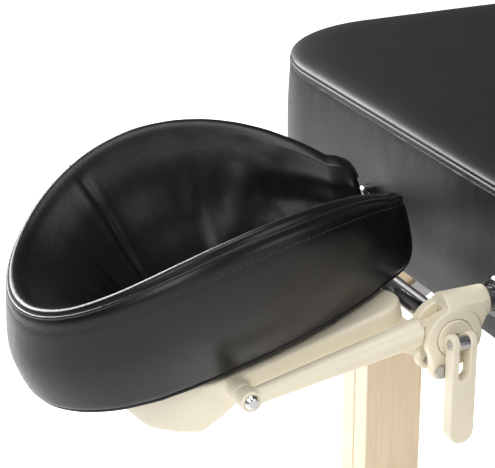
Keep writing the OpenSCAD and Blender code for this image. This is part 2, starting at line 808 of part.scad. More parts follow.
// Plan of the platform: a round bow, two straight arms and round arm ends.
module bow(outer, inner, length) {
  end_r = (outer - inner) / 2;
  mid = (outer + inner) / 2;
  difference() {
    union() {
      circle(r = outer, $fn = 128);
      translate([0, -outer]) square([length - end_r, 2 * outer]);
    }
    circle(r = inner, $fn = 96);
    translate([0, -inner]) square([length, 2 * inner]);
  }
  for (s = [-1, 1]) translate([length - end_r, s * mid]) circle(r = end_r);
}

// Platform with an ear on each side for the arm pins.
module platform() {
  top = -strip_t - soft_gap - glue_t;
  ear_len = socket_y - arm_lug_t / 2 - 0.5;
  u = (platform_x - pin_x) * cos(cradle_tilt) + (pin_z - platform_z) * sin(cradle_tilt);
  w = -(platform_x - pin_x) * sin(cradle_tilt) + (pin_z - platform_z) * cos(cradle_tilt);
  color(CREAM) sloped() difference() {
    union() {
      translate([0, 0, top - platform_t]) linear_extrude(platform_t) bow(platform_b, platform_in, platform_len);
      translate([0, 0, top - belly_t]) intersection() {
        linear_extrude(belly_t) bow(platform_b, platform_in, platform_len);
        translate([0, platform_b + 1, 0]) rotate([90, 0, 0]) linear_extrude(2 * platform_b + 2) polygon([
          [-platform_b - 1, belly_t], [-platform_b - 1, 8], [8 - platform_b, 0],
          [belly_u0, 0], [belly_u1, belly_t - platform_t], [belly_u1, belly_t]
        ]);
      }
      both_sides() translate([u, 0, w]) rod_y(arm_lug_r, platform_b - 12, ear_len);
    }
    both_sides() translate([u, 0, w]) rod_y(5, platform_b - 8, ear_len + 1);
  }
}

module hook_strip() {
  color(BLACK) sloped() translate([0, 0, -strip_t - soft_gap]) linear_extrude(strip_t)
    bow(platform_b - strip_edge, platform_in + strip_edge, strip_len);
}

// ---- face cushion: sections along a horseshoe path, t from 0 at the front to 1 at a tip
side_run = 140;         // length of a side behind its widest place
front_u = 5;           // middle of the round front
mid_a = 105;           // half axes of the round front
mid_b = 70;
front_rim = 56;        // offsets from the path at the front: the rim, the bottom edge, the hole
front_base = 60;
front_hole = 30;
base_w = 22;           // half width of a side at the bottom
tip_pull = 34;         // how far the tips come in
tip_shrink = 0.45;      // share of its height that a tip loses
tip_stand = 0.6;       // share of its outward lean that a tip loses

function sq(x) = x * x;
function blend(a, b, k) = a + (b - a) * k;
// Share of the side's shape: 0 at the front, 1 from the widest place on.
function side_k(t) = t < 0.5 ? sq(sin(180 * t)) : 1;
function tail(t) = max(0, (t - 0.5) * 2);
function path(t) = t < 0.5
  ? [front_u - mid_a * cos(180 * t), mid_b * sin(180 * t)]
  : [front_u + side_run * tail(t), mid_b - tip_pull * sq(tail(t))];
function outward(t) = t < 0.5
  ? let (v = [-mid_b * cos(180 * t), mid_a * sin(180 * t)]) v / norm(v)
  : let (v = [2 * tip_pull * tail(t) / side_run, 1]) v / norm(v);
function height(t) =
  blend(cushion_front_h, cushion_h, side_k(t)) * (1 - tip_shrink * sq(tail(t)));

// Corners of a section as [outward offset, height]: up the outer wall, over the rim,
// and down the inner wall. The tips lean out less than the sides.
function section(t) =
  let (k = side_k(t), h = height(t), lean = 1 - tip_stand * sq(tail(t)),
       rim = blend(front_rim, (cushion_b - mid_b) * lean, k))
  [
    [blend(front_base, base_w, k), 0],
    [blend(front_base + 4, blend(base_w + 2, rim, 0.62), k), 0.45 * h],
    [rim, 0.88 * h],
    [rim - 9, h],
    [rim - 21, 0.9 * h],
    [blend(14 - front_hole, blend(4 - base_w, rim, 0.40), k), 0.45 * h],
    [blend(-front_hole, -base_w, k), 0]
  ];

// Sections close up towards the tips' ends: k is the shrink, d the step past the path.
function ring(t, side, k = 1, d = 0) =
  let (c = path(t), n = outward(t), f = [n[1], -n[0]], s = section(t),
       mid = [(s[0][0] + s[6][0]) / 2 + 6, height(t) * 0.42])
  [for (p = s) let (o = mid[0] + (p[0] - mid[0]) * k, w = mid[1] + (p[1] - mid[1]) * k)
    [c[0] + n[0] * o + f[0] * d, side * (c[1] + n[1] * o + f[1] * d), w]];

module face_cushion() {
  steps = 24;
  // two shrinking rings round each tip
  cap = [[0.88, 13], [0.55, 21]];
  rings = concat(
    [for (i = [len(cap) - 1 : -1 : 0]) ring(1, -1, cap[i][0], cap[i][1])],
    [for (i = [steps : -1 : 0]) ring(i / steps, -1)],
    [for (i = [1 : steps]) ring(i / steps, 1)],
    [for (c = cap) ring(1, 1, c[0], c[1])]
  );
  m = 7;
  n = len(rings);
  color(BLACK) sloped() polyhedron(
    points = [for (r = rings) each r],
    faces = concat(
      [[for (j = [0 : m - 1]) j]],
      [for (i = [0 : n - 2], j = [0 : m - 1])
        let (a = i * m + j, b = i * m + (j + 1) % m) each [[a, a + m, b], [b, a + m, b + m]]],
      [[for (j = [m - 1 : -1 : 0]) (n - 1) * m + j]]
    ));
}

// ================= the parts =================

head_side() deck();  // head_deck
head_side() straight_rails();  // head_straight_rails
head_side() end_rail();  // head_end_rail
head_side() foam();  // head_foam
head_side() cover();  // head_cover
head_side() sockets();  // head_sockets
foot_side() deck();  // foot_deck
foot_side() straight_rails();  // foot_straight_rails
foot_side() end_rail();  // foot_end_rail
foot_side() foam();  // foot_foam
foot_side() cover();  // foot_cover
foot_side() sockets();  // foot_sockets
head_side() hinge_leaves();  // head_hinge_leaves
foot_side() hinge_leaves();  // foot_hinge_leaves
hinge_links();
hinge_pins();
head_side() upper_legs();  // head_upper_legs
head_side() leg_crossbar();  // head_leg_crossbar
head_side() leg_mounts();  // head_leg_mounts
head_side() extension(1);  // head_extension_left
head_side() extension(-1);  // head_extension_right
head_side() rubber_foot(1);  // head_foot_left
head_side() rubber_foot(-1);  // head_foot_right
head_side() knob(1);  // head_knob_left
head_side() knob(-1);  // head_knob_right
head_side() lower_braces();  // head_lower_braces
head_side() upper_braces();  // head_upper_braces
foot_side() upper_legs();  // foot_upper_legs
foot_side() leg_crossbar();  // foot_leg_crossbar
foot_side() leg_mounts();  // foot_leg_mounts
foot_side() extension(1);  // foot_extension_left
foot_side() extension(-1);  // foot_extension_right
foot_side() rubber_foot(1);  // foot_foot_left
foot_side() rubber_foot(-1);  // foot_foot_right
foot_side() knob(1);  // foot_knob_left
foot_side() knob(-1);  // foot_knob_right
foot_side() lower_braces();  // foot_lower_braces
foot_side() upper_braces();  // foot_upper_braces
head_side() handle();  // head_handle
head_side() handle_brackets();  // head_handle_brackets
foot_side() handle();  // foot_handle
foot_side() handle_brackets();  // foot_handle_brackets
head_side() latch_bases();
head_side() latch_lever(-1);  // latch_lever_inner
head_side() latch_lever(1);  // latch_lever_outer
foot_side() latch_strikes();
cradle_rods();
hub_brackets();
cross_tube();
tie_rod();
cam_washer();
cam_lever();
lever_pin();
stop_bolts();
tilt_arms();
arm_pins();
platform();
hook_strip();
face_cushion();
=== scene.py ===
"""Looks of the portable treatment table: padded halves, wooden legs, and a tilting face cradle.
Lengths are in millimetres where a name says nothing else; MM turns them into metres."""
import json
import math

import bmesh
import bpy
import numpy as np
from mathutils import Matrix, Vector, noise


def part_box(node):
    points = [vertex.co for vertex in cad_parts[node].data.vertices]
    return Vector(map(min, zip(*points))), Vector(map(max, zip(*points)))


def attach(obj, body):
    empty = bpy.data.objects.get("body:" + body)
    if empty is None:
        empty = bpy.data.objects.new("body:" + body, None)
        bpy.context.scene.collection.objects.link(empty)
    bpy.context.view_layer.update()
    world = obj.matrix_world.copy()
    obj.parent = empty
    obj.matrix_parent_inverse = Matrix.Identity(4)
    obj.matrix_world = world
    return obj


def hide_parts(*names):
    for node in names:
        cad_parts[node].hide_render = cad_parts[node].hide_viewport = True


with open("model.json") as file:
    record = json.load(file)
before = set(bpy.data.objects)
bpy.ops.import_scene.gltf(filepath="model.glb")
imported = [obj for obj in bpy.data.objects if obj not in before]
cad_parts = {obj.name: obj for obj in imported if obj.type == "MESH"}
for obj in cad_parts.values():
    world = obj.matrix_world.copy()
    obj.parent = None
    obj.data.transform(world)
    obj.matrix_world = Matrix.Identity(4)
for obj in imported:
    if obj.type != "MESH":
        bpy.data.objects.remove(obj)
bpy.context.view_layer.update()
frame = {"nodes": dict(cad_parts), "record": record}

MM = 0.001
NODES = frame["nodes"]
BODIES = {n: name for name, nodes in frame["record"]["behaviour"]["bodies"].items() for n in nodes}


def srgb(r, g, b):
    """Linear colour of an 8-bit sRGB one."""
    shares = (r / 255, g / 255, b / 255)
    return tuple(c / 12.92 if c <= 0.04045 else ((c + 0.055) / 1.055) ** 2.4 for c in shares)


# ---------------------------------------------------------------- sizes that the looks share with the frame

def mid(node, axis):
    lo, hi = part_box(node)
    return (lo[axis] + hi[axis]) / 2 / MM


HEAD_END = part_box("head_cover")[0].x / MM
FOOT_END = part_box("foot_cover")[1].x / MM
HALF_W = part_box("head_cover")[1].y / MM
SKIRT_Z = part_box("head_cover")[0].z / MM
TOP_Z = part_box("head_cover")[1].z / MM
HINGE_X = (HEAD_END + FOOT_END) / 2
HALF_L = FOOT_END - HINGE_X
HINGE_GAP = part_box("foot_cover")[0].x / MM - HINGE_X
SEAM_Z = TOP_Z - 10
CORNER_R = 135
SOCKET_Y = 115
SOCKET_Z = SKIRT_Z + 45
BARREL_R = 14


# ---------------------------------------------------------------- materials

class Finish:
    """A material's node tree, with object coordinates in metres."""

    def __init__(self, name):
        self.material = bpy.data.materials.new(name)
        self.material.use_nodes = True
        self.tree = self.material.node_tree
        self.tree.nodes.clear()
        out = self.add("ShaderNodeOutputMaterial")
        self.shader = self.add("ShaderNodeBsdfPrincipled")
        self.link(self.shader.outputs["BSDF"], out.inputs["Surface"])
        self.place = self.add("ShaderNodeTexCoord").outputs["Object"]

    def add(self, kind, **values):
        node = self.tree.nodes.new(kind)
        for key, value in values.items():
            setattr(node, key, value)
        return node

    def link(self, a, b):
        self.tree.links.new(a, b)

    def stretched(self, scale, turn=(0, 0, 0)):
        node = self.add("ShaderNodeMapping")
        self.link(self.place, node.inputs["Vector"])
        node.inputs["Scale"].default_value = scale
        node.inputs["Rotation"].default_value = turn
        return node.outputs["Vector"]

    def noise(self, scale, detail=3, rough=0.5, distortion=0.0, at=None):
        node = self.add("ShaderNodeTexNoise")
        self.link(at or self.place, node.inputs["Vector"])
        node.inputs["Scale"].default_value = scale
        node.inputs["Detail"].default_value = detail
        node.inputs["Roughness"].default_value = rough
        node.inputs["Distortion"].default_value = distortion
        return node.outputs["Fac"]

    def cells(self, scale, feature="F1", at=None):
        node = self.add("ShaderNodeTexVoronoi", feature=feature)
        self.link(at or self.place, node.inputs["Vector"])
        node.inputs["Scale"].default_value = scale
        return node.outputs["Distance"]

    def ramp(self, fac, *stops):
        node = self.add("ShaderNodeValToRGB")
        self.link(fac, node.inputs["Fac"])
        elements = node.color_ramp.elements
        while len(elements) < len(stops):
            elements.new(0.5)
        for element, (position, colour) in zip(elements, stops):
            element.position = position
            grey = isinstance(colour, (int, float))
            element.color = (colour, colour, colour, 1) if grey else (*colour, 1)
        return node.outputs["Color"]

    def mix(self, fac, a, b, blend="MIX"):
        node = self.add("ShaderNodeMix", data_type="RGBA", blend_type=blend)
        for value, socket in ((fac, node.inputs["Factor"]), (a, node.inputs[6]), (b, node.inputs[7])):
            if isinstance(value, (int, float)):
                socket.default_value = value
            elif isinstance(value, tuple):
                socket.default_value = (*value, 1)
            else:
                self.link(value, socket)
        return node.outputs[2]

    def maths(self, operation, a, b):
        node = self.add("ShaderNodeMath", operation=operation)
        for value, socket in ((a, node.inputs[0]), (b, node.inputs[1])):
            if isinstance(value, (int, float)):
                socket.default_value = value
            else:
                self.link(value, socket)
        return node.outputs[0]

    def bump(self, height, distance, strength=1.0, under=None):
        node = self.add("ShaderNodeBump")
        self.link(height, node.inputs["Height"])
        node.inputs["Distance"].default_value = distance
        node.inputs["Strength"].default_value = strength
        if under:
            self.link(under, node.inputs["Normal"])
        return node.outputs["Normal"]

    def set(self, **values):
        names = {"colour": "Base Color", "rough": "Roughness", "metal": "Metallic", "normal": "Normal",
                 "coat": "Coat Weight", "coat_rough": "Coat Roughness", "sheen": "Sheen Weight",
                 "specular": "Specular IOR Level"}
        for key, value in values.items():
            socket = self.shader.inputs[names[key]]
            if isinstance(value, tuple):
                socket.default_value = (*value, 1)
            elif isinstance(value, (int, float)):
                socket.default_value = value
            else:
                self.link(value, socket)
        return self.material


def vinyl_finish(name, dark, light, rough0, rough1, grain):
    f = Finish(name)
    broad = f.noise(14, 4, 0.6)
    hide = f.cells(grain)
    creases = f.noise(38, 6, 0.62, 0.8)
    tone = f.ramp(broad, (0.3, dark), (0.72, light))
    colour = f.mix(f.ramp(hide, (0.0, 0.0), (0.55, 1.0)), tone, dark)
    soft = f.bump(creases, 0.0008, 0.32)
    fine = f.bump(hide, 0.00011, 0.55, soft)
    rough = f.ramp(f.mix(0.5, broad, f.noise(220, 3)), (0.3, rough0), (0.7, rough1))
    return f.set(colour=colour, rough=rough, normal=fine, specular=0.34)


def wood_finish(name, axis, pale, dark, rough):
    """Straight grain along one axis, with fine pores and wide tone bands."""
    f = Finish(name)
    along, across = 1.6, 26.0
    scale = [across] * 3
    scale[axis] = along
    grain_at = f.stretched(tuple(scale))
    fine_at = f.stretched(tuple(12 if s == along else 330.0 for s in scale))
    bands = f.noise(1.0, 5, 0.62, 1.4, grain_at)
    pores = f.noise(1.0, 4, 0.7, 0.3, fine_at)
    tone = f.noise(2.2, 2)
    colour = f.ramp(bands, (0.28, dark), (0.5, pale), (0.74, tuple(0.93 * c for c in pale)))
    colour = f.mix(f.ramp(pores, (0.32, 0.24), (0.55, 0.0)), colour, tuple(0.72 * c for c in dark))
    colour = f.mix(f.ramp(tone, (0.35, 0.0), (0.7, 0.16)), colour, dark)
    normal = f.bump(f.mix(0.5, pores, bands), 0.00025, 0.5)
    return f.set(colour=colour, rough=f.ramp(pores, (0.3, rough + 0.12), (0.6, rough)), normal=normal)


def coat_finish(name, colour, painted_shade, rough, peel):
    """Powder coat or moulded plastic with orange peel, and fine specks of painted shade: a slightly darker,
    shaded copy of its colour.
    """
    f = Finish(name)
    peel_noise = f.noise(peel, 2, 0.45)
    broad = f.noise(18, 3)
    tone = f.ramp(broad, (0.3, colour), (0.75, tuple(0.95 * c for c in colour)))
    # painted shade: fine specks that mix up to a third of the darker, shaded copy of the colour into the
    # coat
    shade_specks = f.ramp(f.noise(1500, 2), (0.70, 0.0), (0.78, 0.35))
    normal = f.bump(peel_noise, 0.00012, 0.35)
    shine = f.ramp(peel_noise, (0.3, rough), (0.7, rough + 0.08))
    return f.set(colour=f.mix(shade_specks, tone, painted_shade), rough=shine, normal=normal)


def steel_finish(name, tint, rough, axis=1):
    f = Finish(name)
    scale = [900.0] * 3
    scale[axis] = 40.0
    lines = f.noise(1.0, 3, 0.6, 0, f.stretched(tuple(scale)))
    smears = f.noise(55, 4, 0.6)
    colour = f.ramp(smears, (0.3, tint), (0.72, tuple(0.86 * c for c in tint)))
    normal = f.bump(lines, 0.00002, 0.35)
    shine = f.ramp(f.mix(0.6, lines, smears), (0.3, rough), (0.75, rough + 0.13))
    return f.set(colour=colour, metal=1.0, rough=shine, normal=normal)


def foam_finish():
    f = Finish("pale_foam")
    pores = f.cells(620)
    colour = f.ramp(pores, (0.05, srgb(214, 203, 158)), (0.45, srgb(241, 234, 201)))
    return f.set(colour=colour, rough=0.95, normal=f.bump(pores, 0.0006, 0.8))


def ply_finish():
    f = Finish("ply_face")
    at = f.stretched((2.0, 34.0, 34.0))
    bands = f.noise(1.0, 5, 0.65, 2.2, at)
    pores = f.noise(1.0, 3, 0.6, 0, f.stretched((14.0, 380.0, 380.0)))
    dark, pale, middle = srgb(186, 150, 106), srgb(222, 192, 150), srgb(208, 175, 132)
    colour = f.ramp(bands, (0.3, dark), (0.55, pale), (0.75, middle))
    colour = f.mix(f.ramp(pores, (0.3, 0.35), (0.55, 0.0)), colour, srgb(150, 112, 76))
    return f.set(colour=colour, rough=0.72, normal=f.bump(pores, 0.0003, 0.5))


def rubber_finish(name, colour, rough, scale):
    f = Finish(name)
    dust = f.noise(scale, 5, 0.65)
    shade = f.ramp(dust, (0.35, colour), (0.75, tuple(1.9 * c + 0.006 for c in colour)))
    shine = f.ramp(dust, (0.3, rough), (0.7, min(0.95, rough + 0.12)))
    return f.set(colour=shade, rough=shine, normal=f.bump(f.noise(scale * 9, 3), 0.00012, 0.5))


def gloss_finish(name, colour):
    f = Finish(name)
    swirl = f.noise(70, 3, 0.6)
    shade = f.ramp(swirl, (0.3, colour), (0.8, tuple(1.5 * c + 0.002 for c in colour)))
    shine = f.ramp(swirl, (0.3, 0.16), (0.75, 0.26))
    normal = f.bump(f.noise(420, 2), 0.00003, 0.3)
    return f.set(colour=shade, rough=shine, normal=normal, coat=0.4, coat_rough=0.08)


def hook_finish():
    f = Finish("hook_tape")
    hooks = f.cells(760)
    colour = f.ramp(hooks, (0.1, srgb(52, 52, 54)), (0.5, srgb(18, 18, 19)))
    return f.set(colour=colour, rough=0.9, normal=f.bump(hooks, 0.0012, 1.0), sheen=0.4)


def thread_finish(name, colour):
    f = Finish(name)
    twist = f.noise(1.0, 3, 0.6, 0, f.stretched((900.0, 900.0, 2600.0)))
    shade = f.ramp(twist, (0.3, tuple(0.6 * c for c in colour)), (0.7, colour))
    return f.set(colour=shade, rough=0.55, normal=f.bump(twist, 0.0002, 0.7))


BLACK0, BLACK1 = srgb(10, 10, 12), srgb(15, 15, 18)
PALE, TAN = srgb(239, 225, 199), srgb(226, 205, 172)
VINYL = vinyl_finish("satin_vinyl", BLACK0, BLACK1, 0.40, 0.48, 900)
CUSHION_VINYL = vinyl_finish("cushion_vinyl", BLACK0, srgb(22, 22, 25), 0.29, 0.38, 980)
GRIP = vinyl_finish("grip_sleeve", srgb(20, 20, 21), srgb(30, 30, 31), 0.5, 0.62, 420)
WOOD_X = wood_finish("wood_along_x", 0, PALE, TAN, 0.36)
WOOD_Y = wood_finish("wood_along_y", 1, PALE, TAN, 0.36)
WOOD_Z = wood_finish("wood_along_z", 2, PALE, TAN, 0.36)
PLY = ply_finish()
# the third colour of each coat is painted shade: the cream as it looks in shade, mixed in as specks
CREAM = coat_finish("cream_coat", srgb(238, 229, 205), srgb(222, 210, 182), 0.30, 640)
CREAM_PLASTIC = coat_finish("cream_moulding", srgb(239, 230, 207), srgb(228, 217, 192), 0.38, 380)
STEEL = steel_finish("bright_steel", srgb(196, 196, 198), 0.22)
POLISHED = steel_finish("polished_tube", srgb(214, 213, 212), 0.10)
ZINC = steel_finish("zinc_plate", srgb(178, 178, 180), 0.34, 0)
BLACK_GLOSS = gloss_finish("gloss_black", srgb(14, 14, 15))
RUBBER = rubber_finish("black_rubber", srgb(27, 27, 28), 0.72, 90)
FOAM = foam_finish()
HOOK = hook_finish()
THREAD = thread_finish("seam_thread", srgb(46, 46, 50))
PIPING = vinyl_finish("piping_vinyl", srgb(26, 26, 29), srgb(44, 44, 48), 0.26, 0.34, 1300)


# ---------------------------------------------------------------- mesh helpers

def new_object(name, mesh, finish):
    o = bpy.data.objects.new(name, mesh)
    bpy.context.scene.collection.objects.link(o)
    mesh.materials.clear()
    mesh.materials.append(finish)
    return o


def from_data(name, points, faces, finish, smooth=True):
    """Object from points in millimetres."""
    mesh = bpy.data.meshes.new(name)
    mesh.from_pydata([tuple(c * MM for c in p) for p in points], [], faces)
    mesh.validate()
    mesh.update()
    if smooth:
        mesh.shade_smooth()
    return new_object(name, mesh, finish)


def stands_for(o, *nodes):
    """The object rides with its first node's body and replaces its nodes."""
    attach(o, BODIES[nodes[0]])
    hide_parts(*nodes)
    return o


def goes_with(o, node):
    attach(o, BODIES[node])


def copy_of(node, name, finish):
    mesh = NODES[node].data.copy()
    mesh.name = name
    return new_object(name, mesh, finish)


def apply_modifiers(o):
    graph = bpy.context.evaluated_depsgraph_get()
    mesh = bpy.data.meshes.new_from_object(o.evaluated_get(graph), depsgraph=graph)
    old = o.data
    o.modifiers.clear()
    o.data = mesh
    bpy.data.meshes.remove(old)


HARD_EDGE = 32        # degrees between faces from which an edge is rounded
FLAT = 1.5            # degrees between faces up to which they are one
SHARP = 38            # degrees from which shading stays sharp


def eased(node, width, finish, keep=None, segments=3):
    """Shows a node with its hard edges rounded by width, in millimetres."""
    o = copy_of(node, node + "_shown", finish)
    bm = bmesh.new()
    bm.from_mesh(o.data)
    bmesh.ops.remove_doubles(bm, verts=bm.verts, dist=0.00001)
    bmesh.ops.dissolve_limit(bm, angle_limit=math.radians(FLAT), verts=bm.verts, edges=bm.edges)
    edges = []
    for e in bm.edges:
        if len(e.link_faces) != 2 or e.calc_face_angle(0) < math.radians(HARD_EDGE):
            continue
        m = (e.verts[0].co + e.verts[1].co) / 2 / MM
        if keep is None or keep(m):
            edges.append(e)
    if edges:
        bmesh.ops.bevel(bm, geom=edges, offset=width * MM, offset_type="OFFSET", segments=segments,
                        profile=0.5, affect="EDGES", clamp_overlap=True)
    bm.to_mesh(o.data)
    bm.free()
    o.data.shade_smooth()
    o.data.set_sharp_from_angle(angle=math.radians(SHARP))
    weighted = o.modifiers.new("weighted", "WEIGHTED_NORMAL")
    weighted.keep_sharp = True
    apply_modifiers(o)
    return stands_for(o, node)


def cast(node, voxel, finish, smooth):
    """Shows a node as a casting: every edge and inner corner flows with a small radius."""
    o = copy_of(node, node + "_shown", finish)
    remesh = o.modifiers.new("remesh", "REMESH")
    remesh.mode = "VOXEL"
    remesh.voxel_size = voxel * MM
    soften = o.modifiers.new("soften", "SMOOTH")
    soften.factor = 0.5
    soften.iterations = smooth
    thin = o.modifiers.new("thin", "DECIMATE")
    thin.ratio = 0.35
    apply_modifiers(o)
    o.data.shade_smooth()
    return stands_for(o, node)


def tube(name, points, radius, finish):
    """Round cord of the given radius along points, in millimetres."""
    sides = 10
    n = len(points)
    p = [Vector(q) for q in points]
    verts, faces = [], []
    normal = None
    for i in range(n):
        t = (p[min(i + 1, n - 1)] - p[max(i - 1, 0)]).normalized()
        if normal is None:
            normal = t.orthogonal().normalized()
        normal = (normal - t * normal.dot(t)).normalized()
        side = t.cross(normal)
        for k in range(sides):
            w = 2 * math.pi * k / sides
            verts.append(p[i] + (normal * math.cos(w) + side * math.sin(w)) * radius)
    for i in range(n - 1):
        j = i + 1
        for k in range(sides):
            l = (k + 1) % sides
            faces.append((i * sides + k, i * sides + l, j * sides + l, j * sides + k))
    faces.append(tuple(reversed(range(sides))))
    faces.append(tuple((n - 1) * sides + k for k in range(sides)))
    return from_data(name, verts, faces, finish)


def resampled(points, step):
    """Points an even step apart along a line."""
    p = np.array([tuple(q) for q in points], float)
    run = np.concatenate([[0], np.cumsum(np.linalg.norm(np.diff(p, axis=0), axis=1))])
    count = max(4, round(run[-1] / step))
    at = np.linspace(0, run[-1], count)
    return np.stack([np.interp(at, run, p[:, k]) for k in range(3)], 1)


def stitches(name, lines, finish, pitch=5.6, length=3.9, radius=0.42):
    """Rows of separate thread stitches along lines, in millimetres."""
    verts, faces = [], []
    sides = 6
    profile = [(-0.5, 0.0), (-0.34, 0.85), (0.0, 1.1), (0.34, 0.85), (0.5, 0.0)]
    for line in lines:
        p = resampled(line, pitch)
        n = len(p)
        for i in range(n):
            t = Vector(p[min(i + 1, n - 1)] - p[max(i - 1, 0)]).normalized()
            u = t.orthogonal().normalized()
            v = t.cross(u)
            base = len(verts)
            c = Vector(p[i])
            verts.append(c + t * (profile[0][0] * length))
            for along, r in profile[1:-1]:
                for k in range(sides):
                    w = 2 * math.pi * k / sides
                    out = u * math.cos(w) + v * math.sin(w)
                    verts.append(c + t * (along * length) + out * (r * radius))
            verts.append(c + t * (profile[-1][0] * length))
            last = base + 1 + 3 * sides
            for k in range(sides):
                l = (k + 1) % sides
                faces.append((base, base + 1 + l, base + 1 + k))
                for s in range(2):
                    x, y = base + 1 + s * sides, base + 1 + (s + 1) * sides
                    faces.append((x + k, x + l, y + l, y + k))
                faces.append((last, last - sides + k, last - sides + l))
    return from_data(name, verts, faces, finish)


# ---------------------------------------------------------------- padded top

LEAST_CORNER_R = 12.0
CROWN_RUN = 50                       # how far in from the outer edge the crown is curved
HINGE_CROWN_RUN = 27                 # the same from the hinge line
CROWN_RISE = 8.6
FOAM_UNDER = 1.4                     # how far the foam's crown stays inside the cover's


def plan_ring(inset, hinge_inset, hinge_r=4.0):
    """Closed plan of a half from the hinge line at x = 0.

    Its rows are [x, y, normal x, normal y, hinge share]."""
    x0, x1, y1 = HINGE_GAP + hinge_inset, HALF_L - inset, HALF_W - inset
    r = max(CORNER_R - inset, LEAST_CORNER_R)
    h = hinge_r
    rows = []

    def line(a, b, n, normal, w):
        for i in range(n):
            k = i / n
            rows.append([a[0] + (b[0] - a[0]) * k, a[1] + (b[1] - a[1]) * k, *normal, w])

    def arc(c, radius, a0, a1, n, w0, w1):
        for i in range(n):
            k = i / n
            a = a0 + (a1 - a0) * k
            nx, ny = math.cos(a), math.sin(a)
            rows.append([c[0] + radius * nx, c[1] + radius * ny, nx, ny, w0 + (w1 - w0) * k])

    q = math.pi / 2
    line((x0 + h, -y1), (x1 - r, -y1), 130, (0, -1), 0)
    arc((x1 - r, r - y1), r, -q, 0, 16, 0, 0)
    line((x1, r - y1), (x1, y1 - r), 100, (1, 0), 0)
    arc((x1 - r, y1 - r), r, 0, q, 16, 0, 0)
    line((x1 - r, y1), (x0 + h, y1), 130, (0, 1), 0)
    arc((x0 + h, y1 - h), h, q, 2 * q, 6, 0, 1)
    line((x0, y1 - h), (x0, h - y1), 100, (-1, 0), 1)
    arc((x0 + h, h - y1), h, 2 * q, 3 * q, 6, 1, 0)
    return rows


def crown(angle, lower=0.0):
    """The crown at an angle from 0 to 90, as inset from the outer edge and the hinge line, and height."""
    a = math.radians(angle)
    return (0.3 + CROWN_RUN * (1 - math.cos(a)) + lower, 0.3 + HINGE_CROWN_RUN * (1 - math.cos(a)) + lower,
            SEAM_Z + 1.8 + CROWN_RISE * math.sin(a) - lower)


def hardware(half):
    """Places where hardware is screwed to the skirt of a half and keeps it flat, as [x, y, z, reach]."""
    node_boxes = {"head": ["head_sockets", "head_handle_brackets", "latch_bases"],
                  "foot": ["foot_sockets", "foot_handle_brackets", "latch_strikes"]}[half]
    lo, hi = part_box(node_boxes[1])
    handle_x = abs((lo.x + hi.x) / 2 / MM - HINGE_X)
    lo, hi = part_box(node_boxes[2])
    latch = [abs(lo.x / MM - HINGE_X) + 15, abs(hi.x / MM - HINGE_X) - 15]
    spots = [(HALF_L, s * SOCKET_Y, SOCKET_Z, 42) for s in (-1, 1)]
    spots += [(handle_x + s * 65, -HALF_W, SKIRT_Z + 61.5, 34) for s in (-1, 1)]
    spots += [(min(latch), -HALF_W, SKIRT_Z + 30, 36), (max(latch), -HALF_W, SKIRT_Z + 30, 36)]
    return spots


def bareness(x, y, z, spots):
    """How free of hardware a place on the skirt is, from 0 at its middle to 1."""
    k = 1.0
    for sx, sy, sz, reach in spots:
        d = math.sqrt((x - sx) ** 2 + (y - sy) ** 2 + (z - sz) ** 2) / reach
        if d < 2.2:
            k *= 1 - math.exp(-d ** 4)
    return k


def skirt_puff(x, y, z, w, spots, seed):
    """Outward swell of the vinyl over the rails, with slow ripples, in millimetres."""
    s = min(max((z - SKIRT_Z - 3) / (SEAM_Z - SKIRT_Z - 10), 0), 1)
    swell = 2.3 * math.sin(math.pi * s) ** 0.8
    ripple = 0.55 * noise.noise(Vector((x / 46 + seed, y / 46, z / 120))) * math.sin(math.pi * s)
    pull = 0.5 * noise.noise(Vector((x / 13 + seed, y / 13, z / 70))) * max(0, 1 - (1 - s) * 4) * s
    return (swell + ripple + pull) * (1 - w) * bareness(x, y, z, spots)


def top_waves(x, y, seed):
    broad = noise.noise(Vector((x / 150 + seed, y / 150, 3.1)))
    short = noise.noise(Vector((x / 52, y / 52 + seed, 7.7)))
    return 0.55 * broad + 0.22 * short


def ring_faces(rings, count, flip):
    """Faces of a closed skin over rings of count points each, capped at both ends."""
    faces = []
    for r in range(rings - 1):
        for i in range(count):
            j = (i + 1) % count
            quad = (r * count + i, r * count + j, (r + 1) * count + j, (r + 1) * count + i)
            faces.append(quad if flip > 0 else tuple(reversed(quad)))
    last = (rings - 1) * count
    top = tuple(last + i for i in range(count))
    bottom = tuple(reversed(range(count)))
    return faces + ([top, bottom] if flip > 0 else [tuple(reversed(top)), tuple(reversed(bottom))])


